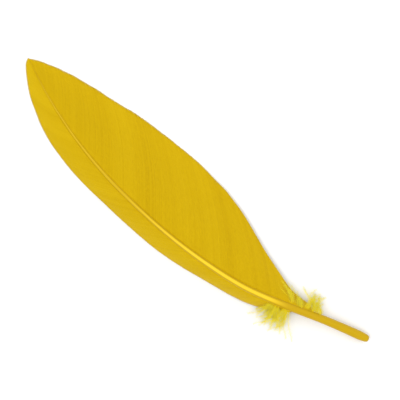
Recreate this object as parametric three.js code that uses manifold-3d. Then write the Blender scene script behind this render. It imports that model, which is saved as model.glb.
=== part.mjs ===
// A dyed wing feather, lying on a surface with its arched side up. A horny shaft carries a narrow leading
// vane, a wide trailing vane and loose down where the vanes begin. The feather grew as one piece, so it is
// one solid.
//
// Millimetres. +Y runs from the quill's end to the feather's tip, +X towards the wide vane, +Z up. The origin
// is in the middle of the feather's box, on the surface that it lies on.

import * as THREE from "three";
import { mergeVertices } from "three/addons/utils/BufferGeometryUtils.js";
import Module from "manifold-3d";

const wasm = await Module();
wasm.setup();

// The shaft's centre line from the quill's end to its thin end inside the tip, at every tenth of its length:
// a smooth curve that bends towards the narrow vane and arches up between its two ends. The quill bends back
// a little.
const CENTRE_LINE = new THREE.CatmullRomCurve3([
  new THREE.Vector3(0, 0, 1.25),
  new THREE.Vector3(-2.9, 10.4, 2.5),
  new THREE.Vector3(-6.3, 20.6, 3.5),
  new THREE.Vector3(-9.2, 31, 4.25),
  new THREE.Vector3(-10.6, 41.7, 4.7),
  new THREE.Vector3(-11.1, 52.5, 4.8),
  new THREE.Vector3(-10.7, 63.4, 4.55),
  new THREE.Vector3(-9.6, 74.1, 4),
  new THREE.Vector3(-7.5, 84.7, 3.1),
  new THREE.Vector3(-4.4, 95, 1.9),
  new THREE.Vector3(-0.4, 105, 0.42),
], false, "catmullrom");

// The shaft's section: half its width at the quill and at the thin end, its depth against its width, and the
// rounded end of the quill.
const QUILL_HALF_WIDTH = 1.12;
const THIN_END_HALF_WIDTH = 0.12;
const TAPER = 1.15;
const DEPTH_RATIO = 1.15;
const LEAST_DEPTH = 0.2;
const QUILL_END_ROUNDING = 3.2;
const QUILL_END_SHARE = 0.5;
const SHAFT_SIDES = 12;
const SHAFT_RINGS = 36;
const RINGS_TOWARDS_QUILL = 1.25;

// The vanes. Each station gives a place along the shaft from 0 to 1, the angle in degrees between the shaft
// and the barbs there, and their length. The soft barbs of the wide vane sink to the surface and lie flat on
// it, and the stiff ones of the narrow vane curve down until their ends touch it. No barb falls more steeply
// than STEEPEST_FALL to one, so the short ones at the quill stand out from the shaft.
const VANES_BEGIN = 0.13;
const TRAILING_VANE = {
  side: 1,
  stations: [
    [0.13, 64, 1.8], [0.18, 61, 4.6], [0.22, 58, 10.6], [0.27, 54, 20.6], [0.34, 49, 24.6],
    [0.43, 45.5, 26.5], [0.54, 42, 25.2], [0.66, 37.5, 22.0], [0.78, 32.5, 16.6], [0.88, 26.5, 10.5],
    [0.95, 17, 5.3], [1, 4, 1.2],
  ],
  columns: 8,
  fall: (reach) => reach * reach * (3 - 2 * reach),
  pressedFrom: 0.87,
  raised: { height: 1.5, until: 0.4 },
};
const LEADING_VANE = {
  side: -1,
  stations: [
    [0.13, 55, 0.5], [0.18, 50, 1.2], [0.205, 45, 3.6], [0.24, 40, 5.0], [0.31, 33.5, 6.3],
    [0.4, 30, 8.8], [0.52, 28.5, 10.0], [0.64, 27, 11.4], [0.74, 26, 11.7], [0.83, 24.5, 9.8],
    [0.9, 21.5, 7.4], [0.96, 14, 4.7], [1, 4, 1.2],
  ],
  columns: 4,
  fall: (reach) => reach ** 1.5,
  pressedFrom: 0.95,
  raised: { height: 0.8, until: 0.36 },
};
const BARB_BOW = 0.05;
const STEEPEST_FALL = 0.9;
const VANE_THICKNESS = 0.36;
const MARGIN_THICKNESS = 0.3;
const BUNDLES = 42;
const BUNDLE_RELIEF = 0.07;
const BUNDLE_WAVE = 0.8;
const BUNDLE_NOTCH = 0.35;
const LEAST_BARB = 0.5;

// The down: locks on each side of the shaft, from the place where the first one grows to the last one's.
const DOWN_SIDES = [
  { side: -1, first: 0.183, last: 0.241, locks: 11, shortest: 4.6, longest: 8.4 },
  { side: 1, first: 0.115, last: 0.2, locks: 11, shortest: 3.4, longest: 6.0 },
];
const LOCK_ANGLE = 76;
const LOCK_ANGLE_SPREAD = 34;
const LOCK_CURL = 1.1;
const LOCK_MIDDLE_HEIGHT = 0.8;
const LOCK_ROOT_RADIUS = 0.42;
const LOCK_TIP_RADIUS = 0.14;
const LOCK_SIDES = 4;
const LOCK_SEGMENTS = 4;
const LOCK_CLEARANCE = 0.25;

// Corners of the joined solid that are nearer to each other than FINEST_EDGE are merged, and so are corners
// of a single shape that are within SAME_CORNER.
const FINEST_EDGE = 0.012;
const SAME_CORNER = 1e-5;
const GOLDEN_RATIO = 0.618034;

const UP = new THREE.Vector3(0, 0, 1);

// The point and the three directions of the shaft at a share of its length: along it, to its +X side and out
// of its back.
function shaftFrame(share) {
  const along = CENTRE_LINE.getTangentAt(share);
  const across = along.clone().cross(UP).normalize();
  return { point: CENTRE_LINE.getPointAt(share), along, across, outward: across.clone().cross(along) };
}

// A smooth value between stations, as a cubic through them with the mean slope of the two spans at each.
function between(stations, column, share) {
  const slope = (a, b) => (stations[b][column] - stations[a][column]) / (stations[b][0] - stations[a][0]);
  const last = stations.length - 1;
  let i = 0;
  while (i < last - 1 && share > stations[i + 1][0]) i += 1;
  const span = stations[i + 1][0] - stations[i][0];
  const f = THREE.MathUtils.clamp((share - stations[i][0]) / span, 0, 1);
  const leaving = slope(Math.max(i - 1, 0), i + 1) * span;
  const arriving = slope(i, Math.min(i + 2, last)) * span;
  return stations[i][column] * (1 + 2 * f) * (1 - f) ** 2 + stations[i + 1][column] * f * f * (3 - 2 * f)
    + leaving * f * (1 - f) ** 2 + arriving * f * f * (f - 1);
}

// Half the shaft's width at a share of its length: a taper, drawn in and rounded over at the quill's end.
function shaftHalfWidth(share) {
  const taper = QUILL_HALF_WIDTH * (1 - share) ** TAPER + THIN_END_HALF_WIDTH * share;
  const fromEnd = Math.min(1, (share * CENTRE_LINE.getLength()) / QUILL_END_ROUNDING);
  return taper * (QUILL_END_SHARE + (1 - QUILL_END_SHARE) * Math.sqrt(1 - (1 - fromEnd) ** 2));
}

// Moves each corner of a geometry by a function of its place in the geometry's own unit box.
function reshaped(geometry, place) {
  geometry.deleteAttribute("normal");
  geometry.deleteAttribute("uv");
  const merged = mergeVertices(geometry, SAME_CORNER);
  const corners = merged.attributes.position;
  const corner = new THREE.Vector3();
  for (let i = 0; i < corners.count; i += 1) {
    const moved = place(corner.fromBufferAttribute(corners, i));
    corners.setXYZ(i, moved.x, moved.y, moved.z);
  }
  return merged;
}

function toSolid(geometry) {
  return new wasm.Manifold(new wasm.Mesh({
    numProp: 3,
    vertProperties: new Float32Array(geometry.attributes.position.array),
    triVerts: new Uint32Array(geometry.index.array),
  }));
}

// The shaft: a cylinder whose axis is laid along the centre line, with a section a little deeper than it is
// wide.
function shaftSolid() {
  return toSolid(reshaped(new THREE.CylinderGeometry(1, 1, 1, SHAFT_SIDES, SHAFT_RINGS), (corner) => {
    const share = (corner.y + 0.5) ** RINGS_TOWARDS_QUILL;
    const frame = shaftFrame(share);
    const halfWidth = shaftHalfWidth(share);
    return frame.point
      .addScaledVector(frame.across, corner.x * halfWidth)
      .addScaledVector(frame.outward, corner.z * (halfWidth * DEPTH_RATIO + LEAST_DEPTH));
  }));
}

// A point on a barb, seen from above: straight out at the barb's angle, with a bow that turns its end to the
// tip.
function barbPoint(vane, share, reach, length) {
  const frame = shaftFrame(share);
  const turn = -vane.side * THREE.MathUtils.degToRad(between(vane.stations, 1, share));
  const outward = frame.along.clone().setZ(0).normalize().applyAxisAngle(UP, turn);
  const basal = outward.clone().applyAxisAngle(UP, -vane.side * Math.PI / 2);
  return frame.point
    .addScaledVector(outward, length * reach)
    .addScaledVector(basal, BARB_BOW * length * 4 * reach * (1 - reach));
}

// Both vanes as one sheet with the shaft down its middle: a box with one row of corners for each crest and
// each groove between bundles of barbs. The sheet's edges are notched where two bundles part.
function vanesSolid() {
  const columns = LEADING_VANE.columns + TRAILING_VANE.columns;
  const box = new THREE.BoxGeometry(1, 1, 1, columns, 2 * BUNDLES, 1);
  return toSolid(reshaped(box, (corner) => {
    const share = THREE.MathUtils.lerp(VANES_BEGIN, 1, corner.y + 0.5);
    const column = Math.round((corner.x + 0.5) * columns) - LEADING_VANE.columns;
    const vane = column < 0 ? LEADING_VANE : TRAILING_VANE;
    const reach = Math.abs(column) / vane.columns;
    const groove = Math.round((corner.y + 0.5) * 2 * BUNDLES) % 2;
    const length = Math.max(between(vane.stations, 2, share) - BUNDLE_NOTCH * groove, LEAST_BARB);
    const point = barbPoint(vane, share, reach, length);
    const thickness = THREE.MathUtils.lerp(VANE_THICKNESS, MARGIN_THICKNESS, reach);
    const fallen = vane.fall(Math.min(1, reach / vane.pressedFrom));
    const level = 1 - THREE.MathUtils.smoothstep(share, VANES_BEGIN, vane.raised.until);
    const raised = vane.raised.height * level;
    const relief = BUNDLE_RELIEF * (1 - 2 * groove) * Math.sin(Math.PI * Math.sqrt(reach) * BUNDLE_WAVE);
    const root = point.z - VANE_THICKNESS / 2;
    const under = Math.max(root * (1 - fallen) + raised * fallen, root - STEEPEST_FALL * length * reach);
    point.z = Math.max(0, under + relief * (1 - fallen));
    if (corner.z > 0) {
      point.z += thickness + relief * fallen;
    }
    return point;
  }));
}

// A lock of down: a thin cone along a curved path that leaves the shaft and sinks towards the surface.
function lockSolid({ side, share, angle, length, curl }) {
  const frame = shaftFrame(share);
  const turn = -side * THREE.MathUtils.degToRad(angle);
  const outward = frame.along.clone().setZ(0).normalize().applyAxisAngle(UP, turn);
  const start = frame.point;
  const end = start.clone().addScaledVector(outward, length).setZ(LOCK_CLEARANCE + LOCK_TIP_RADIUS);
  const middle = start.clone().lerp(end, 0.5).addScaledVector(frame.along, curl);
  middle.z = start.z * LOCK_MIDDLE_HEIGHT;
  const path = new THREE.QuadraticBezierCurve3(start, middle, end);
  return toSolid(reshaped(
    new THREE.CylinderGeometry(LOCK_TIP_RADIUS, LOCK_ROOT_RADIUS, 1, LOCK_SIDES, LOCK_SEGMENTS),
    (corner) => {
      const along = path.getTangentAt(corner.y + 0.5);
      const across = along.clone().cross(UP).normalize();
      return path.getPointAt(corner.y + 0.5)
        .addScaledVector(across, corner.x)
        .addScaledVector(across.cross(along), corner.z);
    },
  ));
}

// The locks on one side, with angles and lengths that vary by steps of the golden ratio, so that none
// repeats.
function downSolids({ side, first, last, locks, shortest, longest }) {
  const golden = (i) => (i * GOLDEN_RATIO) % 1;
  return Array.from({ length: locks }, (_, i) => lockSolid({
    side,
    share: THREE.MathUtils.lerp(first, last, (i + 0.5) / locks),
    angle: LOCK_ANGLE + LOCK_ANGLE_SPREAD * (golden(i + 3) - 0.5),
    length: THREE.MathUtils.lerp(shortest, longest, golden(2 * i)),
    curl: LOCK_CURL * (2 * golden(3 * i + 1) - 1),
  }));
}

function featherGeometry() {
  const solid = wasm.Manifold.union([
    shaftSolid(),
    vanesSolid(),
    ...DOWN_SIDES.flatMap(downSolids),
  ]);
  const mesh = solid.simplify(FINEST_EDGE).getMesh();
  const geometry = new THREE.BufferGeometry();
  geometry.setAttribute("position", new THREE.BufferAttribute(new Float32Array(mesh.vertProperties), 3));
  geometry.setIndex(new THREE.BufferAttribute(new Uint32Array(mesh.triVerts), 1));
  geometry.computeBoundingBox();
  const middle = geometry.boundingBox.getCenter(new THREE.Vector3());
  geometry.translate(-middle.x, -middle.y, -geometry.boundingBox.min.z);
  geometry.computeVertexNormals();
  return geometry;
}

const feather = new THREE.Mesh(
  featherGeometry(),
  new THREE.MeshStandardMaterial({ color: "#d7b218", roughness: 0.6, metalness: 0, flatShading: true }),
);
feather.name = "feather";

const part = new THREE.Group();
part.add(feather);

export default part;
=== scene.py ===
# A dyed wing feather that lies on a white surface. Its shaft, its two vanes and its down are surfaces
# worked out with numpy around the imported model: every barb of the vanes is a closed strip of its own.

import math

import bpy
import numpy as np
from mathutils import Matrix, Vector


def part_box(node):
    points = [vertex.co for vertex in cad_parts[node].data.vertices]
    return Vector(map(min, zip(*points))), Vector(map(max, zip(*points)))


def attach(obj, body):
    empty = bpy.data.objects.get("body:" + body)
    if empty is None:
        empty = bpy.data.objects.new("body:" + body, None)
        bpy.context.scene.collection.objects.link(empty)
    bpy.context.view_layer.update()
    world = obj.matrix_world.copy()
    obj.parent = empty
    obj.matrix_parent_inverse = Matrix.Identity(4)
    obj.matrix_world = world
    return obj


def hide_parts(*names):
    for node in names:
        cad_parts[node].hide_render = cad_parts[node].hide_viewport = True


bl_info = {
    "name": "Wing feather",
    "version": (1, 0, 0),
    "blender": (4, 5, 0),
    "location": "3D View > Sidebar > Feather",
    "description": "Builds a dyed wing feather: quill, shaft, two vanes of single barbs, down and a stage",
    "category": "Add Mesh",
}

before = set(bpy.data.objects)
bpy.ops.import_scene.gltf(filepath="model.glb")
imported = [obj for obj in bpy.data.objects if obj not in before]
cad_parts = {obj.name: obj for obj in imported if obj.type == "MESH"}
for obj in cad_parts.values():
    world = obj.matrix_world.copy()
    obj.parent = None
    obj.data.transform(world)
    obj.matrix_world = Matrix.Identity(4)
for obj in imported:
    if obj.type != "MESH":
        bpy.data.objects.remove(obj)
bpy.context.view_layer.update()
NODE = "feather"

MM = 0.001
UP = np.array([0.0, 0.0, 1.0])

# The form of the feather, in metres in its own plan: the quill's end at the origin, the chord to the tip
# along +Y, the wide vane on the +X side. IN_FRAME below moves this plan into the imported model's frame. The
# shaft's centre line is given at every tenth of its length.
CENTRE_LINE = MM * np.array([
    [0, 0, 1.25], [-2.9, 10.4, 2.5], [-6.3, 20.6, 3.5], [-9.2, 31, 4.25], [-10.6, 41.7, 4.7],
    [-11.1, 52.5, 4.8], [-10.7, 63.4, 4.55], [-9.6, 74.1, 4], [-7.5, 84.7, 3.1], [-4.4, 95, 1.9],
    [-0.4, 105, 0.42],
])
LINE_POINTS = 801
TAPER = 1.15
TIP_THINNING = 0.75
TIP_THINS_FROM = 0.9
QUILL_END_ROUNDING = 3.2 * MM
QUILL_END_SHARE = 0.5

# The vanes. Each station gives a place along the shaft from 0 to 1, the angle in degrees between the shaft
# and the barbs there, and their length in millimetres.
VANES_BEGIN = 0.13
TRAILING = {
    "name": "trailing_vane",
    "side": 1,
    "first": 0.14,
    "stations": [
        (0.13, 64, 1.8), (0.18, 61, 4.6), (0.22, 58, 10.6), (0.27, 54, 20.6), (0.34, 49, 24.6),
        (0.43, 45.5, 26.5), (0.54, 42, 25.2), (0.66, 37.5, 22.0), (0.78, 32.5, 16.6), (0.88, 26.5, 10.5),
        (0.95, 17, 5.3), (1, 0, 1.2),
    ],
    "fall": lambda reach: reach * reach * (3 - 2 * reach),
    "pressed_from": 0.87,
    "raised": 1.5 * MM,
    "raised_until": 0.4,
    "ragged": 0.06 * MM,
    "tone": 0.5,
    "rows": 28,
    "seed": 11,
}
LEADING = {
    "name": "leading_vane",
    "side": -1,
    "first": 0.18,
    "stations": [
        (0.13, 55, 0.5), (0.18, 50, 1.2), (0.205, 45, 3.6), (0.24, 40, 5.0), (0.31, 33.5, 6.3),
        (0.4, 30, 8.8), (0.52, 28.5, 10.0), (0.64, 27, 11.4), (0.74, 26, 11.7), (0.83, 24.5, 9.8),
        (0.9, 21.5, 7.4), (0.96, 14, 4.7), (1, 0, 1.2),
    ],
    "fall": lambda reach: reach ** 1.5,
    "pressed_from": 0.95,
    "raised": 0.8 * MM,
    "raised_until": 0.36,
    "ragged": 0.05 * MM,
    # The leading vane's higher tone is painted light: it pales the dye to offset the shade the vane gets
    # from sloping away from the light.
    "tone": 0.7,
    "rows": 18,
    "seed": 12,
}
BARB_BOW = 0.05
BOWED_FROM = math.radians(20)
STEEPEST = 0.9
ROOT_DEPTH = 0.18 * MM
EDGE_POINTS = 400

# The down: its locks grow between two places along the shaft, at an angle in degrees to it. A side's longest
# lock is given against the length in the settings, and its shortest lock against its longest.
DOWN = [
    {"side": -1, "first": 0.186, "last": 0.242, "locks": 9, "angle": 88, "shortest": 0.5, "longest": 1.1},
    {"side": 1, "first": 0.12, "last": 0.2, "locks": 9, "angle": 66, "shortest": 0.5, "longest": 0.85},
]
BARBS_IN_LOCK = 6

# The stage: where the camera stands in plan, and the name, place, side and power of its soft lights.
CAMERA_PLACE = (4.58 * MM, -0.55 * MM)
LIGHTS = [("Key", (-0.25, 0.1, 0.75), 0.5, 2.2), ("Fill", (0.35, -0.2, 0.7), 0.8, 1.4)]
SKY_STRENGTH = 0.85
FLOOR_ROUGHNESS = 0.9


def unit(vectors):
    """The vectors, each made one long."""
    return vectors / np.maximum(np.linalg.norm(vectors, axis=-1, keepdims=True), 1e-12)


def smooth_step(value, low, high):
    """3f^2 - 2f^3, where f is how far the value is from low to high, held between 0 and 1."""
    f = np.clip((value - low) / (high - low), 0, 1)
    return f * f * (3 - 2 * f)


def grown(start, share):
    """A factor that is start at share 0 and 1 at share 1: start + (1 - start) share."""
    return start + (1 - start) * share


def between(stations, column, share):
    """A smooth value between stations: a cubic through them, with the mean slope of two spans at each."""
    table = np.array(stations, float)
    knots, values = table[:, 0], table[:, column]
    i = np.clip(np.searchsorted(knots, share, side="right") - 1, 0, len(knots) - 2)
    before = np.maximum(i - 1, 0)
    after = np.minimum(i + 2, len(knots) - 1)
    span = knots[i + 1] - knots[i]
    f = np.clip((share - knots[i]) / span, 0, 1)
    leaving = (values[i + 1] - values[before]) / (knots[i + 1] - knots[before]) * span
    arriving = (values[after] - values[i]) / (knots[after] - knots[i]) * span
    return (values[i] * (1 + 2 * f) * (1 - f) ** 2 + values[i + 1] * f * f * (3 - 2 * f)
            + leaving * f * (1 - f) ** 2 + arriving * f * f * (f - 1))


def centre_line(t):
    """Points of the shaft's centre line: the smooth curve through its tenths, with t from 0 to 1."""
    tenths = np.column_stack([np.linspace(0, 1, len(CENTRE_LINE)), CENTRE_LINE])
    return np.stack([between(tenths, column, t) for column in (1, 2, 3)], axis=-1)


def line_steps():
    """Many places t along the centre line, and the lengths of the short steps between them."""
    t = np.linspace(0, 1, LINE_POINTS)
    return t, np.linalg.norm(np.diff(centre_line(t), axis=0), axis=1)


def line_length():
    """Length of the shaft's centre line, as the sum of its short steps."""
    return line_steps()[1].sum()


def shaft_frame(share):
    """The point, and the directions along, across and out of the back, at shares of the shaft's length.

    A table of the line's running length turns a share into the line's own parameter. The direction along is
    the difference of two near points, across is that direction turned to +X in the plan, and outward is
    across times along.
    """
    t, steps = line_steps()
    run = np.r_[0, np.cumsum(steps)]
    at = np.interp(share, run / run[-1], t)
    step = 1e-4
    along = unit(centre_line(np.minimum(at + step, 1)) - centre_line(np.maximum(at - step, 0)))
    across = unit(np.cross(along, UP))
    return centre_line(at), along, across, np.cross(across, along)


def shaft_half_width(share, quill, thin_end):
    """Half the shaft's width: quill (1 - share)^TAPER + thin_end share, drawn in at both ends.

    A quarter circle rounds the quill's end, and thin_end loses TIP_THINNING of itself on the last stretch.
    """
    thinned = 1 - TIP_THINNING * smooth_step(share, TIP_THINS_FROM, 1)
    taper = quill * (1 - share) ** TAPER + thin_end * share * thinned
    from_end = np.minimum(1, share * line_length() / QUILL_END_ROUNDING)
    return taper * grown(QUILL_END_SHARE, np.sqrt(1 - (1 - from_end) ** 2))


def half_width_at(share, shaft):
    """Half the shaft's width with the sizes of its settings."""
    return shaft_half_width(share, shaft.quill_width / 2, shaft.thin_end_width / 2)


def barb_lines(vane, share, reach, length):
    """Centre lines of barbs, an array of barbs by places from root (reach 0) to end (reach 1).

    In plan a barb is root + length reach o + BARB_BOW length 4 reach (1 - reach) b, with o the way out at
    the barb's angle to the shaft and b square to it, towards the quill. Barbs nearly in line with the shaft
    bow less. A barb's height falls from the shaft's to the surface's by the vane's own fall of
    reach / pressed_from, or by STEEPEST times the way out in plan where that is less. At the foot of the
    vanes the fall ends at raised above the surface.
    """
    point, along, _, _ = shaft_frame(share)
    angle = np.radians(between(vane["stations"], 1, share)) * -vane["side"]
    level = unit(along * [1, 1, 0])
    cos, sin = np.cos(angle)[:, None], np.sin(angle)[:, None]
    outward = np.concatenate([
        level[:, :1] * cos - level[:, 1:2] * sin, level[:, :1] * sin + level[:, 1:2] * cos, 0 * cos], axis=1)
    basal = np.stack([outward[:, 1], -outward[:, 0], 0 * outward[:, 0]], axis=1) * vane["side"]
    bow = BARB_BOW * 4 * reach * (1 - reach) * np.minimum(1, np.abs(angle) / BOWED_FROM)[:, None]
    lines = (point[:, None] + (length[:, None] * reach)[..., None] * outward[:, None]
             + (length[:, None] * bow)[..., None] * basal[:, None])
    fallen = vane["fall"](np.minimum(1, reach / vane["pressed_from"]))
    raised = vane["raised"] * (1 - smooth_step(share, VANES_BEGIN, vane["raised_until"]))
    top = point[:, None, 2] - ROOT_DEPTH
    pressed = top * (1 - fallen) + raised[:, None] * fallen
    steepest = top - STEEPEST * length[:, None] * reach
    lines[..., 2] = np.maximum(0, np.maximum(pressed, steepest))
    return lines


def plan_high():
    """Highest corner of the feather's box in its plan: the vanes' edges and the quill's end."""
    share = np.linspace(VANES_BEGIN, 1, EDGE_POINTS)
    corners = [CENTRE_LINE[0]]
    for vane in (TRAILING, LEADING):
        length = between(vane["stations"], 2, share) * MM
        corners.extend(barb_lines(vane, share, np.ones((1, 1)), length)[:, 0])
    return np.max(corners, axis=0)


def in_frame():
    """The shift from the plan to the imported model's frame, which lays one box's corner on the other's."""
    corner = plan_high()
    _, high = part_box(NODE)
    return np.array([high.x - corner[0], high.y - corner[1], 0.0])


IN_FRAME = in_frame()


def wander(generator, count, width):
    """Random values that change slowly: white noise smeared by a bell of the given width, made one wide."""
    tail = 3 * width
    bell = np.exp(-0.5 * (np.arange(-tail, tail + 1) / width) ** 2)
    noise = np.convolve(generator.normal(size=count + 2 * tail), bell, mode="valid")[:count]
    return (noise - noise.mean()) / noise.std()


def tube_faces(count, rows, ring):
    """Corners of the faces of closed tubes, and how many each face has.

    Each row is joined to the next by four-sided faces, and both ends are closed by one face.
    """
    tube = np.arange(count)[:, None, None] * rows * ring
    row = np.arange(rows - 1)[None, :, None] * ring
    here = np.arange(ring)[None, None, :]
    there = (here + 1) % ring
    quads = np.stack([
        tube + row + here, tube + row + there, tube + row + ring + there, tube + row + ring + here], -1)
    first_ends = (tube + here)[:, 0, ::-1]
    last_ends = (tube + (rows - 1) * ring + here)[:, 0]
    corners = np.concatenate([quads.reshape(-1), first_ends.reshape(-1), last_ends.reshape(-1)])
    return corners, np.r_[np.full(count * (rows - 1) * ring, 4), np.full(2 * count, ring)]


# The UV map: how many rows of cells each mesh has, and in a tube's cell the margins beside and below its
# strip and the ovals of its two ends.
SHAFT_MAP_ROWS = 1
VANE_MAP_ROWS = 3
DOWN_MAP_ROWS = 1
BARBULE_MAP_ROWS = 40
STRIP_SIDE = 0.05
STRIP_LOW = 0.03
END_MIDDLE = 0.015
END_HALF_WIDTH = 0.3
END_HALF_HEIGHT = 0.01


def tube_uvs(count, rows, ring, cell_rows):
    """UV places of the same corners: the tubes lie side by side in cell_rows rows of strips.

    A strip has the way round the ring across it and the way along the tube up it.
    """
    per_row = math.ceil(count / cell_rows)
    across = (np.arange(count) % per_row)[:, None, None]
    up = (np.arange(count) // per_row)[:, None, None]
    here = np.arange(ring)[None, None, :]
    height = (1 - 2 * STRIP_LOW) / (rows - 1)
    width = (1 - 2 * STRIP_SIDE) / ring
    level = STRIP_LOW + height * np.arange(rows - 1)[None, :, None] + np.zeros((count, 1, ring))
    left = STRIP_SIDE + width * here + np.zeros((count, rows - 1, 1))
    quad_u = (np.stack([left, left + width, left + width, left], -1) + across[..., None]) / per_row
    quad_v = (np.stack([level, level, level + height, level + height], -1) + up[..., None]) / cell_rows
    turn = 2 * np.pi * np.arange(ring) / ring
    ends_u = (0.5 + END_HALF_WIDTH * np.cos(turn)[None] + across[:, 0]) / per_row
    oval = END_MIDDLE - END_HALF_HEIGHT * np.sin(turn)[None]
    first_v = (oval + up[:, 0]) / cell_rows
    last_v = (1 - oval + up[:, 0]) / cell_rows
    u = np.concatenate([quad_u.reshape(-1), ends_u.reshape(-1), ends_u.reshape(-1)])
    v = np.concatenate([quad_v.reshape(-1), first_v.reshape(-1), last_v.reshape(-1)])
    return np.stack([u, v], -1)


def tubes_to_mesh(name, points, cell_rows, attributes):
    """A mesh of closed tubes, with its attributes, from an array of tubes by rows by places on a ring."""
    count, rows, ring, _ = points.shape
    corners, sizes = tube_faces(count, rows, ring)
    uvs = tube_uvs(count, rows, ring, cell_rows)
    mesh = bpy.data.meshes.new(name)
    mesh.vertices.add(count * rows * ring)
    mesh.vertices.foreach_set("co", (points + IN_FRAME).astype(np.float32).reshape(-1))
    mesh.loops.add(len(corners))
    mesh.loops.foreach_set("vertex_index", corners.astype(np.int32))
    mesh.polygons.add(len(sizes))
    mesh.polygons.foreach_set("loop_start", np.r_[0, np.cumsum(sizes)[:-1]].astype(np.int32))
    mesh.polygons.foreach_set("use_smooth", np.ones(len(sizes), bool))
    mesh.update(calc_edges=True)
    mesh.uv_layers.new(name="OFBake").data.foreach_set("uv", uvs.astype(np.float32).reshape(-1))
    for key, values in attributes.items():
        spread = np.broadcast_to(values, (count, rows, ring)).astype(np.float32).reshape(-1)
        mesh.attributes.new(key, "FLOAT", "POINT").data.foreach_set("value", spread)
    return mesh


def show(name, mesh, material):
    """Puts a finished mesh in the scene as a piece that rides on the body and stands for the node."""
    piece = bpy.data.objects.new(name, mesh)
    bpy.context.scene.collection.objects.link(piece)
    mesh.materials.append(material)
    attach(piece, "root")
    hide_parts(NODE)


# The shaft's rings. HOLE is the small blind hole in the quill's end: places along the shaft in millimetres,
# and radii against half the quill's width, from the hole's floor out over its rim.
HOLE = np.array([
    (0.9, 0.0), (0.85, 0.1), (0.5, 0.2), (0.12, 0.26), (0.0, 0.36), (0.02, 0.48), (0.12, 0.62),
])
BODY_BEGINS = 0.3 * MM
SHAFT_RINGS = 300
SHAFT_SIDES = 40
RINGS_TOWARDS_QUILL = 1.35
SECTION_CHANGES = (VANES_BEGIN - 0.02, VANES_BEGIN + 0.1)
QUILL_DEPTH_RATIO = 0.97
ADDED_DEPTH = 0.1 * MM
SQUARED_OFF = 0.22
GROOVE_WIDTH = 0.28


def shaft_mesh(settings):
    """The shaft as one tube along the centre line.

    Its section is x = a cos^p, z = b sin^p of the angle round it, with p under 1 to square it off, and the
    under side of the vanes' stretch sinks in along the middle by a bell of x. The quill's end turns in to a
    small blind hole.
    """
    length = line_length()
    body = grown(BODY_BEGINS / length, np.linspace(0, 1, SHAFT_RINGS) ** RINGS_TOWARDS_QUILL)
    share = np.r_[HOLE[:, 0] * MM / length, body]
    half = half_width_at(share, settings)
    half[: len(HOLE)] = HOLE[:, 1] * settings.quill_width / 2
    with_vanes = smooth_step(share, *SECTION_CHANGES)
    ratio = QUILL_DEPTH_RATIO + (settings.depth_ratio - QUILL_DEPTH_RATIO) * with_vanes
    deep = half * ratio + ADDED_DEPTH * with_vanes

    angle = -2 * np.pi * np.arange(SHAFT_SIDES) / SHAFT_SIDES
    square = 1 - SQUARED_OFF * with_vanes[:, None]
    cos, sin = np.cos(angle)[None], np.sin(angle)[None]
    x = np.sign(cos) * np.abs(cos) ** square
    z = np.sign(sin) * np.abs(sin) ** square
    groove = settings.groove * with_vanes[:, None] * np.exp(-(x / GROOVE_WIDTH) ** 2) * (z < 0)
    point, _, across, outward = shaft_frame(share)
    points = (point[:, None] + across[:, None] * (half[:, None] * x)[..., None]
              + outward[:, None] * (deep[:, None] * z * (1 - groove))[..., None])
    return tubes_to_mesh("shaft", points[None], SHAFT_MAP_ROWS, {
        "share": share[None, :, None],
        "crest": (np.maximum(z, 0) * (1 - np.abs(x)))[None],
        "from_middle": (half[:, None] * x)[None] / MM,
    })


# How a vane's barbs vary, rise from the shaft's flanks and draw together in bundles. The runs are numbers
# of barbs over which slow noise changes.
PLACE_JITTER = 0.12
LEAST_RAGGED = 0.3
OWN_RAGGED = 0.5
RAGGED_RUN = 5
SHORTEST_BARB = 0.5 * MM
PLACES_TOWARDS_END = 1.3
FLANK_REACH = 2.6 * MM
FLANK_OUT = 0.5
FLANK_UP = 0.42
BUNDLE_SIZES = (6, 20)
BILLOW = 0.03 * MM
BUNDLE_BILLOW = 0.035 * MM
BILLOW_RUN = 4
BILLOW_AT_END = 0.1
BILLOW_TOWARDS_ROOT = 0.8
TONE_SPREAD = 0.07
TONE_WANDER = 0.05
TONE_RUN = 6

# A strip's section: its eight corners' places across, in halves of the way to the next barb, and up, in
# heights of the ridge, from the edge nearest the quill over the ridge to the other edge and back below.
SECTION_ACROSS = np.array([-1.08, -0.34, 0.0, 0.34, 1.14, 1.14, 0.0, -1.08])
SECTION_UP = np.array([-0.25, 0.12, 1.0, 0.2, 0.02, -0.22, -1.0, -0.5])
WIDEST_GAP = 1.35
LEAST_HALF_WIDTH = 0.06 * MM
END_TAPER = 0.8 * MM
END_TAPER_SHARE = 0.25
END_ROUNDING = 0.6
RIDGE_LOST = 0.55
RIDGE_AT_END = 0.35
RIDGE_AT_THIN_SHAFT = 0.5
THIN_SHAFT = 0.5 * MM
RIDGE_OVER_SPREAD = 0.03 * MM
FAR_WEB_AT_END = 0.75
NEAR_WEB_AT_END = 0.3
CLEAR_OF_FLOOR = 0.006 * MM


def barb_places(vane, spacing, generator):
    """Places along the shaft and lengths of a vane's barbs.

    The places are evenly spaced, give or take PLACE_JITTER of a space. The lengths follow the stations, plus
    ragged x (slow noise + OWN_RAGGED x white noise), with less of it for short barbs.
    """
    count = round((1 - vane["first"]) * line_length() / spacing)
    place = (np.arange(count) + 0.5 + generator.uniform(-PLACE_JITTER, PLACE_JITTER, count)) / count
    share = grown(vane["first"], place)
    length = between(vane["stations"], 2, share) * MM
    ragged = vane["ragged"] * grown(LEAST_RAGGED, length / length.max())
    slow = wander(generator, count, RAGGED_RUN)
    length = length + ragged * (slow + OWN_RAGGED * generator.normal(size=count))
    return share, np.maximum(length, SHORTEST_BARB)


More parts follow.
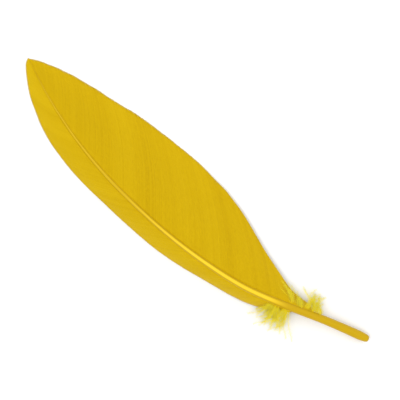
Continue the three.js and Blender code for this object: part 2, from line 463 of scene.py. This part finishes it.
def in_bundles(lines, step, reach, gather, generator):
    """Centre lines whose barbs draw together in bundles, with each bundle's far side riding a little higher.

    A barb moves towards its bundle's middle by gather x size x its place from -1/2 to 1/2 x reach^3 steps,
    and billows by a half wave of reach^BILLOW_TOWARDS_ROOT.
    """
    count = len(lines)
    starts = np.cumsum(generator.integers(*BUNDLE_SIZES, count))
    bundle = np.searchsorted(starts, np.arange(count), side="right")
    edges = np.r_[0, starts]
    size = edges[bundle + 1] - edges[bundle]
    place = (np.arange(count) + 0.5 - edges[bundle]) / size - 0.5
    lines = lines - (gather * size * place)[:, None, None] * (reach ** 3)[None, :, None] * step
    billow = BILLOW * wander(generator, count, BILLOW_RUN) + BUNDLE_BILLOW * place
    wave = np.sin(np.pi * reach ** BILLOW_TOWARDS_ROOT)
    lines[..., 2] += billow[:, None] * (wave * (1 - BILLOW_AT_END) + BILLOW_AT_END * reach)[None]
    return lines


def held(gaps, widest):
    """Ways to a neighbour, none longer than the widest."""
    return gaps * np.minimum(1, widest / np.linalg.norm(gaps, axis=-1, keepdims=True))


def strip_points(vane, lines, step, reach, length, half, barb_height):
    """Corners of the barbs' strips: a ridge in the middle, a thin web sloping to each side, a keel below.

    A web's edge is the barb's line + w/2 of the way to the next barb's line at the same reach, with w a
    little over 1, so the webs overlap and the ends lie along the vane's edge. At a wide split the web stays
    behind, and where the barbs crowd together it keeps a least width. The web that faces the quill narrows
    most over the last part.
    """
    along = unit(np.gradient(lines, axis=1))
    sideways = step - (step * along).sum(-1, keepdims=True) * along
    spread = np.linalg.norm(sideways, axis=-1, keepdims=True)
    sideways = unit(sideways)
    upward = np.cross(along, sideways) * vane["side"]
    gaps = np.diff(lines, axis=0)
    widest = WIDEST_GAP * np.linalg.norm(step, axis=-1, keepdims=True)
    to_next = held(np.concatenate([gaps, gaps[-1:]]), widest)
    to_last = held(np.concatenate([gaps[:1], gaps]), widest)
    extra = sideways * np.maximum(LEAST_HALF_WIDTH - 0.5 * spread, 0)

    taper = np.minimum(END_TAPER, END_TAPER_SHARE * length)[:, None]
    ends = np.clip(length[:, None] * (1 - reach[None]) / taper, 0, 1) ** END_ROUNDING
    ridge = barb_height * (1 - RIDGE_LOST * reach[None]) * grown(RIDGE_AT_END, ends)
    ridge = ridge * grown(RIDGE_AT_THIN_SHAFT, smooth_step(half, 0, THIN_SHAFT))[:, None]
    ridge = np.minimum(ridge, 0.5 * spread[..., 0] + RIDGE_OVER_SPREAD)
    toward_next = np.maximum(SECTION_ACROSS, 0) * grown(FAR_WEB_AT_END, ends)[..., None]
    toward_last = np.minimum(SECTION_ACROSS, 0) * grown(NEAR_WEB_AT_END, ends)[..., None]
    points = (lines[:, :, None] + (0.5 * to_next + extra)[:, :, None] * toward_next[..., None]
              + (0.5 * to_last + extra)[:, :, None] * toward_last[..., None]
              + upward[:, :, None] * (ridge[..., None] * SECTION_UP)[..., None])
    points[..., 2] += np.maximum(CLEAR_OF_FLOOR - points[..., 2].min(2), 0)[..., None]
    # One vane mirrors the other, so their rings run opposite ways to keep every face outwards.
    ring_order = -vane["side"]
    return points[:, :, ::ring_order]


def vane_mesh(vane, settings, shaft):
    """A vane as one closed strip for each barb, with the barb's tone, place and reach as attributes."""
    generator = np.random.default_rng(vane["seed"])
    share, length = barb_places(vane, settings.barb_spacing, generator)
    count = len(share)
    reach = 1 - (1 - np.linspace(0, 1, vane["rows"] + 1)) ** PLACES_TOWARDS_END
    lines = barb_lines(vane, share, reach[None], length)

    # Near the shaft the barbs rise from its flanks, close under its back.
    _, _, across, outward = shaft_frame(share)
    half = half_width_at(share, shaft)
    near = np.exp(-(length[:, None] * reach[None] / FLANK_REACH) ** 2)[..., None]
    rise = across * (vane["side"] * FLANK_OUT * half)[:, None] + outward * (FLANK_UP * half)[:, None]
    lines = lines + near * rise[:, None]
    lines[..., 2] += ROOT_DEPTH

    step = np.gradient(lines, axis=0)
    lines = in_bundles(lines, step, reach, settings.gather, generator)
    points = strip_points(vane, lines, step, reach, length, half, settings.barb_height)
    tone = vane["tone"] + TONE_SPREAD * generator.normal(size=count)
    tone = tone + TONE_WANDER * wander(generator, count, TONE_RUN)
    return tubes_to_mesh(vane["name"], points, VANE_MAP_ROWS, {
        "tone": tone[:, None, None],
        "reach": reach[None, :, None],
        "share": share[:, None, None],
        "barb": (np.arange(count) / count)[:, None, None],
    })


# How the downy barbs vary: a spread from lock to lock and a smaller one within a lock.
DOWN_SEED = 26
DOWN_ROWS = 14
DOWN_PLACE_SPREAD = 0.15
DOWN_LEAST_IN_LOCK = 0.75
DOWN_ANGLE_SPREAD = (13, 9)
DOWN_FLANK = 0.65
DOWN_CURL = 0.1
DOWN_CURL_SPREAD = (0.3, 0.22)
DOWN_WAVE_SPREAD = (0.1, 0.06)
DOWN_WAVES = 7
DOWN_PHASES = 6.3
DOWN_PHASE_SPREAD = 0.7
DOWN_END_HEIGHTS = (0.15 * MM, 2.6 * MM)
DOWN_MOST_RISE = 0.8 * MM
DOWN_SINK = 1.4
DOWN_LOWEST = 0.1 * MM
DOWN_RADIUS = 0.06 * MM
DOWN_THINNING = 0.7
DOWN_SIDES = 5

# The barbules on each side of a downy barb: how many there are, where the first and the last one stand, and
# how they lean, tilt, bend, thin out and pale.
BARBULES = 52
BARBULES_FROM = 0.1
BARBULES_TO = 0.99
BARBULE_LEAN = (55, 15)
BARBULE_TILT = 0.35
BARBULE_LENGTHS = (0.6, 1.15)
BARBULE_SHORTENING = 0.5
BARBULE_BEND = 0.25
BARBULE_LOWEST = 0.02 * MM
BARBULE_RADII = 0.015 * MM * np.array([1.0, 0.8, 0.3])
BARBULE_SIDES = 3
BARBULE_PALENESS = np.array([0.6, 0.8, 1.0])


def shared(generator, lock, values, own):
    """The value of each barb's lock, plus a little of the barb's own by a normal spread."""
    return values[lock] + generator.normal(0, own, len(lock))


def down_lines(generator, down, longest, shaft):
    """Centre lines of downy barbs in curling locks: from the shaft's flank out at a wide angle, and sinking.

    A line is middle + length (r o + (curl r^2 + wave r sin(DOWN_WAVES r + phase)) a), with r from the flank
    to the end, o the way out and a along the shaft. Its height goes from the shaft's to a low end by
    1 - r^DOWN_SINK, plus a low rise. The barbs of a lock share their place, angle, curl, length and wave,
    apart from a little of their own.
    """
    locks = down["locks"]
    count = locks * BARBS_IN_LOCK
    lock = np.arange(count) // BARBS_IN_LOCK
    step = (down["last"] - down["first"]) / locks
    place = shared(generator, lock, generator.uniform(0, 1, locks), DOWN_PLACE_SPREAD)
    share = down["first"] + step * (lock + place)
    length = longest * generator.uniform(down["shortest"], 1, locks)[lock]
    length = length * generator.uniform(DOWN_LEAST_IN_LOCK, 1, count)
    point, along, across, _ = shaft_frame(share)
    between_locks, own = DOWN_ANGLE_SPREAD
    angle = shared(generator, lock, generator.normal(down["angle"], between_locks, locks), own)
    angle = np.radians(angle)[:, None]
    outward = unit(along * [1, 1, 0]) * np.cos(angle) + down["side"] * across * np.sin(angle)
    flank = DOWN_FLANK * half_width_at(share, shaft) / length
    r = grown(flank[:, None], np.linspace(0, 1, DOWN_ROWS)[None])[..., None]
    between_locks, own = DOWN_CURL_SPREAD
    curl = shared(generator, lock, generator.normal(DOWN_CURL, between_locks, locks), own)
    between_locks, own = DOWN_WAVE_SPREAD
    wave = shared(generator, lock, generator.normal(0, between_locks, locks), own)
    phase = shared(generator, lock, generator.uniform(0, DOWN_PHASES, locks), DOWN_PHASE_SPREAD)
    curl, wave, phase, level = (values[:, None, None] for values in (curl, wave, phase, length))
    aside = curl * r * r + wave * r * np.sin(DOWN_WAVES * r + phase)
    lines = point[:, None] + level * (r * outward[:, None] + aside * along[:, None])
    end = generator.uniform(*DOWN_END_HEIGHTS, count)[:, None]
    start = point[:, None, 2]
    rise = generator.uniform(0, DOWN_MOST_RISE, count)[:, None] * np.sin(np.pi * r[..., 0])
    lines[..., 2] = start + (end - start) * r[..., 0] ** DOWN_SINK + rise
    return lines


def rods(lines, radius, sides):
    """Thin rods round centre lines: rings of the given radius square to each line."""
    along = unit(np.gradient(lines, axis=1))
    nearly_up = UP + 0.01
    across = unit(np.cross(along, nearly_up))
    third = np.cross(across, along)
    turn = -2 * np.pi * np.arange(sides) / sides
    ring = across[:, :, None] * np.cos(turn)[:, None] + third[:, :, None] * np.sin(turn)[:, None]
    return lines[:, :, None] + ring * radius[..., None, None]


def barbule_lines(generator, lines, longest):
    """Centre lines of barbules, which leave both sides of the downy barbs at evenly spaced places.

    A barbule is root + its length (p w + BARBULE_BEND p^2 a), with p from 0 to 1, a along the barb and w the
    way out, which leans to the barb's end. Those near the end are shorter, by BARBULE_SHORTENING at^3.
    """
    count, rows, _ = lines.shape
    at = np.linspace(BARBULES_FROM, BARBULES_TO, BARBULES)
    whole = at * (rows - 1)
    i = np.minimum(whole.astype(int), rows - 2)
    f = (whole - i)[None, :, None]
    roots = lines[:, i] * (1 - f) + lines[:, i + 1] * f
    along = unit(lines[:, i + 1] - lines[:, i])
    across = unit(np.cross(along, UP))
    part = np.linspace(0, 1, len(BARBULE_RADII))[:, None]
    hairs = []
    for side in (-1, 1):
        lean = np.radians(generator.normal(*BARBULE_LEAN, (count, BARBULES)))[..., None]
        tilt = generator.normal(0, BARBULE_TILT, (count, BARBULES))[..., None]
        way = unit(along * np.cos(lean) + side * across * np.sin(lean) + tilt * UP)
        long = longest * generator.uniform(*BARBULE_LENGTHS, (count, BARBULES))
        long = long * (1 - BARBULE_SHORTENING * at ** 3)
        bent = part * way[:, :, None] + BARBULE_BEND * part ** 2 * along[:, :, None]
        hairs.append((roots[:, :, None] + long[..., None, None] * bent).reshape(-1, len(part), 3))
    hairs = np.concatenate(hairs)
    hairs[..., 2] = np.maximum(hairs[..., 2], BARBULE_LOWEST)
    return hairs


def down_mesh(settings, shaft):
    """Downy barbs on both sides of the quill's top, and the fine barbules along both sides of each."""
    generator = np.random.default_rng(DOWN_SEED)
    lines = np.concatenate([
        down_lines(generator, down, settings.length * down["longest"], shaft) for down in DOWN])
    lines[..., 2] = np.maximum(lines[..., 2], DOWN_LOWEST)
    r = np.linspace(0, 1, DOWN_ROWS)
    barbs = rods(lines, np.broadcast_to(DOWN_RADIUS * (1 - DOWN_THINNING * r), lines.shape[:2]), DOWN_SIDES)
    hairs = barbule_lines(generator, lines, settings.barbule_length)
    hairs = rods(hairs, np.broadcast_to(BARBULE_RADII, hairs.shape[:2]), BARBULE_SIDES)
    return [
        tubes_to_mesh("down", barbs, DOWN_MAP_ROWS, {"reach": r[None, :, None]}),
        tubes_to_mesh("down_barbules", hairs, BARBULE_MAP_ROWS, {
            "reach": BARBULE_PALENESS[None, :, None]}),
    ]


def add_node(tree, kind, place, values=None, **settings):
    """A node of a tree, with the settings of its own and the values of its inputs."""
    made = tree.nodes.new(kind)
    made.location = place
    for key, value in settings.items():
        setattr(made, key, value)
    for key, value in (values or {}).items():
        made.inputs[key].default_value = value
    return made


def new_group(name, inputs, outputs):
    """An empty node group with named sockets, and its two end nodes."""
    tree = bpy.data.node_groups.new(name, "ShaderNodeTree")
    for label, kind, default in inputs:
        tree.interface.new_socket(label, in_out="INPUT", socket_type=kind).default_value = default
    for label, kind in outputs:
        tree.interface.new_socket(label, in_out="OUTPUT", socket_type=kind)
    return tree, add_node(tree, "NodeGroupInput", (-900, 0)), add_node(tree, "NodeGroupOutput", (700, 0))


def mapped(tree, place, source, start, end, low=0.0, high=1.0, smooth=False):
    """A node that maps a value from the range start to end to the range low to high, and holds it there."""
    made = add_node(tree, "ShaderNodeMapRange", place, {
        "From Min": start, "From Max": end, "To Min": low, "To Max": high})
    made.interpolation_type = "SMOOTHSTEP" if smooth else "LINEAR"
    tree.links.new(source, made.inputs["Value"])
    return made.outputs["Result"]


def combined(tree, place, operation, first, second):
    """A node that makes one value of two."""
    made = add_node(tree, "ShaderNodeMath", place, operation=operation)
    tree.links.new(first, made.inputs[0])
    tree.links.new(second, made.inputs[1])
    return made.outputs[0]


def blended(tree, place, factor, first, second):
    """A node that blends two colours."""
    made = add_node(tree, "ShaderNodeMix", place, data_type="RGBA")
    tree.links.new(factor, made.inputs["Factor"])
    tree.links.new(first, made.inputs["A"])
    tree.links.new(second, made.inputs["B"])
    return made.outputs["Result"]


def dye_group():
    """Dyed keratin: a colour, deeper below the middle of a tone and paler above it, and pale by a mask."""
    if "Dyed keratin" in bpy.data.node_groups:
        return bpy.data.node_groups["Dyed keratin"]
    tree, start, end = new_group("Dyed keratin", [
        ("Colour", "NodeSocketColor", (0.6, 0.4, 0.02, 1)),
        ("Deep colour", "NodeSocketColor", (0.4, 0.25, 0.01, 1)),
        ("Pale colour", "NodeSocketColor", (0.8, 0.6, 0.1, 1)),
        ("Tone", "NodeSocketFloat", 0.5),
        ("Paleness", "NodeSocketFloat", 0.0),
    ], [("Colour", "NodeSocketColor")])
    deep = mapped(tree, (-600, 200), start.outputs["Tone"], 0.5, 0.0)
    pale = mapped(tree, (-600, -100), start.outputs["Tone"], 0.5, 1.0, high=0.6)
    most = combined(tree, (-400, -200), "MAXIMUM", pale, start.outputs["Paleness"])
    darker = blended(tree, (-200, 200), deep, start.outputs["Colour"], start.outputs["Deep colour"])
    lighter = blended(tree, (100, 100), most, darker, start.outputs["Pale colour"])
    tree.links.new(lighter, end.inputs["Colour"])
    return tree


def fibre_group():
    """Fibres: long streaks of noise, with a scale across them and one along them, as a mask and a height."""
    if "Fibres" in bpy.data.node_groups:
        return bpy.data.node_groups["Fibres"]
    tree, start, end = new_group("Fibres", [
        ("Across", "NodeSocketFloat", 0.0),
        ("Along", "NodeSocketFloat", 0.0),
        ("Scale across", "NodeSocketFloat", 100.0),
        ("Scale along", "NodeSocketFloat", 4.0),
        ("Low", "NodeSocketFloat", 0.0),
        ("High", "NodeSocketFloat", 1.0),
    ], [("Mask", "NodeSocketFloat"), ("Height", "NodeSocketFloat")])
    given = start.outputs
    link = tree.links.new
    across = combined(tree, (-700, 200), "MULTIPLY", given["Across"], given["Scale across"])
    along = combined(tree, (-700, 0), "MULTIPLY", given["Along"], given["Scale along"])
    joined = add_node(tree, "ShaderNodeCombineXYZ", (-500, 100))
    noise = add_node(tree, "ShaderNodeTexNoise", (-300, 100), {
        "Scale": 1.0, "Detail": 3.0, "Roughness": 0.6})
    mask = add_node(tree, "ShaderNodeMapRange", (0, 100), {"From Min": 0.3, "From Max": 0.7})
    link(across, joined.inputs["X"])
    link(along, joined.inputs["Y"])
    link(joined.outputs[0], noise.inputs["Vector"])
    link(noise.outputs["Fac"], mask.inputs["Value"])
    link(given["Low"], mask.inputs["To Min"])
    link(given["High"], mask.inputs["To Max"])
    link(mask.outputs["Result"], end.inputs["Mask"])
    link(noise.outputs["Fac"], end.inputs["Height"])
    return tree


def place_group(tree, group, place, values):
    """A node group placed in a material, with its own values."""
    made = add_node(tree, "ShaderNodeGroup", place)
    made.node_tree = group
    for key, value in values.items():
        made.inputs[key].default_value = value
    return made


def place_dye(tree, place, settings, tone, paleness, shader):
    """The dye with a material's three colours, from a tone and a paleness to the shader's own colour."""
    dye = place_group(tree, dye_group(), place, {
        "Colour": (*settings.colour, 1),
        "Deep colour": (*settings.deep_colour, 1),
        "Pale colour": (*settings.pale_colour, 1),
    })
    tree.links.new(tone, dye.inputs["Tone"])
    tree.links.new(paleness, dye.inputs["Paleness"])
    tree.links.new(dye.outputs["Colour"], shader.inputs["Base Color"])


def place_fibres(tree, place, across, along, values):
    """The fibres in a material, with the attributes that count across and along them."""
    made = place_group(tree, fibre_group(), place, values)
    tree.links.new(across, made.inputs["Across"])
    tree.links.new(along, made.inputs["Along"])
    return made


def add_bump(tree, place, height, strength, distance, shader):
    """A bump of the shader's surface by a height."""
    bump = add_node(tree, "ShaderNodeBump", place, {"Strength": strength, "Distance": distance})
    tree.links.new(height, bump.inputs["Height"])
    tree.links.new(bump.outputs["Normal"], shader.inputs["Normal"])


def new_material(name, gloss):
    """A material with one shader, whose plain values are set on its own sockets."""
    material = bpy.data.materials.new(name)
    material.use_nodes = True
    shader = material.node_tree.nodes["Principled BSDF"]
    for key, value in gloss.items():
        shader.inputs[key].default_value = value
    return material, material.node_tree, shader


def attribute(tree, name, place):
    """The value of one of the piece's own attributes."""
    return add_node(tree, "ShaderNodeAttribute", place, attribute_name=name).outputs["Fac"]


def vane_material(settings):
    """Silky dyed vane: a tone for each barb, fine streaks along them, darker barb ends along the edge and a
    paler foot.
    """
    material, tree, shader = new_material("Dyed vane", {
        "Specular IOR Level": 0.2, "Specular Tint": (1, 0.85, 0.2, 1), "Sheen Weight": 0.05,
        "Sheen Roughness": 0.4, "Sheen Tint": (1, 0.85, 0.2, 1),
    })
    tone = attribute(tree, "tone", (-1300, 300))
    reach = attribute(tree, "reach", (-1300, 100))
    share = attribute(tree, "share", (-1300, -100))
    barb = attribute(tree, "barb", (-1300, -300))
    streaks = place_fibres(tree, (-1000, -100), barb, reach, {
        "Scale across": 900.0, "Scale along": 26.0, "Low": -0.16, "High": 0.16})
    toned = combined(tree, (-750, 200), "ADD", tone, streaks.outputs["Mask"])
    # Darker towards the barbs' ends, along the vane's edge.
    edge = mapped(tree, (-1000, 450), reach, 0.94, 1.0, high=0.2)
    edged = combined(tree, (-550, 250), "SUBTRACT", toned, edge)
    foot = mapped(tree, (-1000, -350), share, 0.23, 0.14, high=0.45)
    place_dye(tree, (-300, 200), settings, edged, foot, shader)
    rough = place_fibres(tree, (-600, -250), barb, reach, {
        "Scale across": 300.0, "Scale along": 9.0, "Low": 0.42, "High": 0.58})
    tree.links.new(rough.outputs["Mask"], shader.inputs["Roughness"])
    add_bump(tree, (-300, -300), streaks.outputs["Height"], 0.25, 0.02 * MM, shader)
    return material


def shaft_material(settings):
    """Smooth dyed horn: golden quill, paler horn along the vanes with a painted highlight on its crest, the
    vanes' colour at the tip.
    """
    material, tree, shader = new_material("Dyed horn", {
        "Specular IOR Level": 0.3, "Specular Tint": (1, 0.86, 0.3, 1), "Coat Weight": 0.02,
        "Coat Roughness": 0.25,
    })
    share = attribute(tree, "share", (-1200, 200))
    from_middle = attribute(tree, "from_middle", (-1200, -200))
    crest = attribute(tree, "crest", (-1200, 450))
    bright = mapped(tree, (-950, 300), share, 0.185, 0.25, smooth=True)
    faded = mapped(tree, (-950, 0), share, 0.38, 0.74, 1.0, 0.05, smooth=True)
    # Painted highlight: the back's paleness is full on the crest and falls to a twentieth on the flanks,
    # which are left darker as painted shade.
    ridge = mapped(tree, (-950, 550), crest, 0.3, 0.72, low=0.05, smooth=True)
    lengthwise = combined(tree, (-750, 200), "MULTIPLY", bright, faded)
    both = combined(tree, (-600, 350), "MULTIPLY", lengthwise, ridge)
    tipward = mapped(tree, (-950, 800), share, 0.5, 0.7, high=0.22, smooth=True)
    paler = combined(tree, (-600, 550), "MAXIMUM", tipward, both)
    streaks = place_fibres(tree, (-950, -300), from_middle, share, {
        "Scale across": 9.0, "Scale along": 28.0, "Low": 0.36, "High": 0.62})
    place_dye(tree, (-450, 200), settings, streaks.outputs["Mask"], paler, shader)
    rough = mapped(tree, (-600, -200), streaks.outputs["Mask"], 0.0, 1.0, 0.3, 0.45)
    tree.links.new(rough, shader.inputs["Roughness"])
    add_bump(tree, (-450, -350), streaks.outputs["Height"], 0.2, 0.03 * MM, shader)
    return material


def down_material(settings):
    """Soft dyed down: paler to the barbs' ends, with patches of deeper dye."""
    material, tree, shader = new_material("Dyed down", {
        "Roughness": 0.75, "Specular IOR Level": 0.1, "Specular Tint": (1, 0.86, 0.5, 1),
        "Sheen Weight": 0.1, "Sheen Roughness": 0.5, "Sheen Tint": (1, 0.9, 0.5, 1),
    })
    reach = attribute(tree, "reach", (-900, 100))
    where = add_node(tree, "ShaderNodeTexCoord", (-1100, -150))
    patches = add_node(tree, "ShaderNodeTexNoise", (-900, -150), {"Scale": 1400.0, "Detail": 2.0})
    tree.links.new(where.outputs["Object"], patches.inputs["Vector"])
    paler = mapped(tree, (-650, 100), reach, 0.3, 1.0, 0.1, 0.9)
    place_dye(tree, (-350, 100), settings, patches.outputs["Fac"], paler, shader)
    return material


def plain_material(name, colour, roughness):
    """A matt surface with a faint, very large mottle."""
    material, tree, shader = new_material(name, {"Roughness": roughness, "Specular IOR Level": 0.1})
    darkest = 0.985
    where = add_node(tree, "ShaderNodeTexCoord", (-900, 0))
    noise = add_node(tree, "ShaderNodeTexNoise", (-700, 0), {"Scale": 2.0})
    mottle = add_node(tree, "ShaderNodeMix", (-400, 0), data_type="RGBA")
    mottle.inputs["A"].default_value = (*colour, 1)
    mottle.inputs["B"].default_value = (*[c * darkest for c in colour], 1)
    tree.links.new(where.outputs["Object"], noise.inputs["Vector"])
    tree.links.new(noise.outputs["Fac"], mottle.inputs["Factor"])
    tree.links.new(mottle.outputs["Result"], shader.inputs["Base Color"])
    return material


def colour_property(name, description, default):
    """A colour that a user may change."""
    return bpy.props.FloatVectorProperty(
        name=name, description=description, default=default, subtype="COLOR", min=0, max=1)


def length_property(name, description, default):
    """A length that a user may change."""
    return bpy.props.FloatProperty(
        name=name, description=description, default=default, min=0, unit="LENGTH", precision=5)


class ShaftSettings(bpy.types.PropertyGroup):
    """Sizes and colours of the quill and shaft."""
    quill_width: length_property("Quill width", "Width of the bare quill", 2.24 * MM)
    thin_end_width: length_property("Thin end width", "Width of the shaft inside the tip", 0.24 * MM)
    depth_ratio: bpy.props.FloatProperty(
        name="Depth ratio", description="Depth of the shaft between the vanes against its width",
        default=1.1, min=0.5)
    groove: bpy.props.FloatProperty(
        name="Groove", description="Depth of the groove under the shaft, against half its depth",
        default=0.3, min=0)
    colour: colour_property("Colour", "Horn of the quill", (0.53, 0.33, 0.003))
    deep_colour: colour_property("Deep colour", "Deeper streaks of the quill", (0.43, 0.25, 0.003))
    # The pale colour is partly the back's paler horn and partly a painted highlight along its crest.
    pale_colour: colour_property("Pale colour", "Back of the shaft between the vanes", (0.84, 0.58, 0.022))


class VaneSettings(bpy.types.PropertyGroup):
    """Sizes and colours of the two vanes."""
    barb_spacing: length_property("Barb spacing", "Distance between two barbs along the shaft", 0.3 * MM)
    barb_height: length_property("Barb height", "Half the height of a barb at its root", 0.062 * MM)
    gather: bpy.props.FloatProperty(
        name="Gather", description="How far the barbs of a bundle draw together at the edge",
        default=0.016, min=0)
    colour: colour_property("Colour", "Dyed barbs", (0.615, 0.404, 0.003))
    deep_colour: colour_property("Deep colour", "Deeper dyed barbs", (0.52, 0.32, 0.002))
    pale_colour: colour_property("Pale colour", "Paler dyed barbs", (0.73, 0.51, 0.009))


class DownSettings(bpy.types.PropertyGroup):
    """Sizes and colours of the down."""
    length: length_property("Length", "Length that both sides' longest locks follow", 7.6 * MM)
    barbule_length: length_property("Barbule length", "Length of the fine hairs on a downy barb", 0.7 * MM)
    colour: colour_property("Colour", "Foot of the down", (0.96, 0.78, 0.008))
    deep_colour: colour_property("Deep colour", "Deeper patches of the down", (0.88, 0.67, 0.005))
    pale_colour: colour_property("Pale colour", "Ends of the down", (0.98, 0.9, 0.07))


class StageSettings(bpy.types.PropertyGroup):
    """The surface, the light and the camera."""
    floor_side: length_property("Floor side", "Side of the square that the feather lies on", 3.0)
    floor_colour: colour_property("Floor colour", "Surface that the feather lies on", (0.9, 0.9, 0.9))
    view_width: length_property("View width", "Width of the camera's picture at the surface", 96.3 * MM)
    view_turn: bpy.props.FloatProperty(
        name="View turn", description="Turn of the feather to the left in the picture",
        default=math.radians(50.45), subtype="ANGLE")
    lens: bpy.props.FloatProperty(
        name="Lens", description="Focal length in millimetres", default=135.0, min=1)


class FEATHER_OT_shaft(bpy.types.Operator):
    """Build the quill and the shaft"""
    bl_idname = "feather.shaft"
    bl_label = "Shaft"

    def execute(self, context):
        settings = context.scene.feather_shaft
        show("shaft", shaft_mesh(settings), shaft_material(settings))
        return {"FINISHED"}


class FEATHER_OT_vanes(bpy.types.Operator):
    """Build the narrow leading vane and the wide trailing vane"""
    bl_idname = "feather.vanes"
    bl_label = "Vanes"

    def execute(self, context):
        settings = context.scene.feather_vanes
        material = vane_material(settings)
        for vane in (TRAILING, LEADING):
            show(vane["name"], vane_mesh(vane, settings, context.scene.feather_shaft), material)
        return {"FINISHED"}


class FEATHER_OT_down(bpy.types.Operator):
    """Build the down where the vanes begin"""
    bl_idname = "feather.down"
    bl_label = "Down"

    def execute(self, context):
        settings = context.scene.feather_down
        material = down_material(settings)
        for mesh in down_mesh(settings, context.scene.feather_shaft):
            show(mesh.name, mesh, material)
        return {"FINISHED"}


class FEATHER_OT_stage(bpy.types.Operator):
    """Build the white surface, the soft lights and the camera above the feather"""
    bl_idname = "feather.stage"
    bl_label = "Stage"

    def execute(self, context):
        settings = context.scene.feather_stage
        self.add_floor(context, settings)
        world = bpy.data.worlds.new("Soft white")
        world.use_nodes = True
        sky = world.node_tree.nodes["Background"]
        sky.inputs["Color"].default_value = (1, 1, 1, 1)
        sky.inputs["Strength"].default_value = SKY_STRENGTH
        context.scene.world = world
        for light in LIGHTS:
            self.add_light(context, *light)
        self.add_camera(context, settings)
        context.scene.view_settings.view_transform = "Standard"
        context.scene.view_settings.look = "None"
        return {"FINISHED"}

    def add_floor(self, context, settings):
        """The square surface that the feather lies on."""
        half = settings.floor_side / 2
        mesh = bpy.data.meshes.new("floor")
        corners = [(-half, -half, 0), (half, -half, 0), (half, half, 0), (-half, half, 0)]
        mesh.from_pydata(corners, [], [(0, 1, 2, 3)])
        mesh.materials.append(plain_material("White surface", settings.floor_colour, FLOOR_ROUGHNESS))
        floor = bpy.data.objects.new("floor", mesh)
        context.scene.collection.objects.link(floor)

    def add_light(self, context, name, place, size, power):
        """A square soft light that faces the feather."""
        data = bpy.data.lights.new(name, "AREA")
        data.size = size
        data.energy = power
        light = bpy.data.objects.new(name, data)
        light.location = place
        aim = -np.array(place)
        flat = math.hypot(aim[0], aim[1])
        light.rotation_euler = (math.atan2(flat, -aim[2]), 0, math.atan2(-aim[0], aim[1]))
        context.scene.collection.objects.link(light)

    def add_camera(self, context, settings):
        """A camera that looks straight down, turned so that the feather lies to the left in the picture."""
        data = bpy.data.cameras.new("Camera")
        data.lens = settings.lens
        camera = bpy.data.objects.new("Camera", data)
        distance = settings.view_width * settings.lens / data.sensor_width
        camera.location = (*CAMERA_PLACE, distance)
        camera.rotation_euler = (0, 0, -settings.view_turn)
        context.scene.collection.objects.link(camera)
        context.scene.camera = camera


class FEATHER_PT_panel(bpy.types.Panel):
    """The feather's pieces and stage, each with its settings"""
    bl_label = "Wing feather"
    bl_idname = "FEATHER_PT_panel"
    bl_space_type = "VIEW_3D"
    bl_region_type = "UI"
    bl_category = "Feather"

    def draw(self, context):
        for operator, group in PANEL_ROWS:
            box = self.layout.box()
            box.operator(operator)
            settings = getattr(context.scene, group)
            for name in settings.bl_rna.properties.keys():
                if name not in {"rna_type", "name"}:
                    box.prop(settings, name)


SETTINGS = {
    "feather_shaft": ShaftSettings,
    "feather_vanes": VaneSettings,
    "feather_down": DownSettings,
    "feather_stage": StageSettings,
}
PANEL_ROWS = [
    ("feather.shaft", "feather_shaft"),
    ("feather.vanes", "feather_vanes"),
    ("feather.down", "feather_down"),
    ("feather.stage", "feather_stage"),
]
CLASSES = [
    *SETTINGS.values(),
    FEATHER_OT_shaft, FEATHER_OT_vanes, FEATHER_OT_down, FEATHER_OT_stage, FEATHER_PT_panel,
]


def register():
    for cls in CLASSES:
        bpy.utils.register_class(cls)
    for name, cls in SETTINGS.items():
        setattr(bpy.types.Scene, name, bpy.props.PointerProperty(type=cls))


def unregister():
    for name in SETTINGS:
        delattr(bpy.types.Scene, name)
    for cls in reversed(CLASSES):
        bpy.utils.unregister_class(cls)


def main():
    register()
    bpy.ops.feather.stage()
    bpy.ops.feather.shaft()
    bpy.ops.feather.vanes()
    bpy.ops.feather.down()


if __name__ == "__main__":
    main()
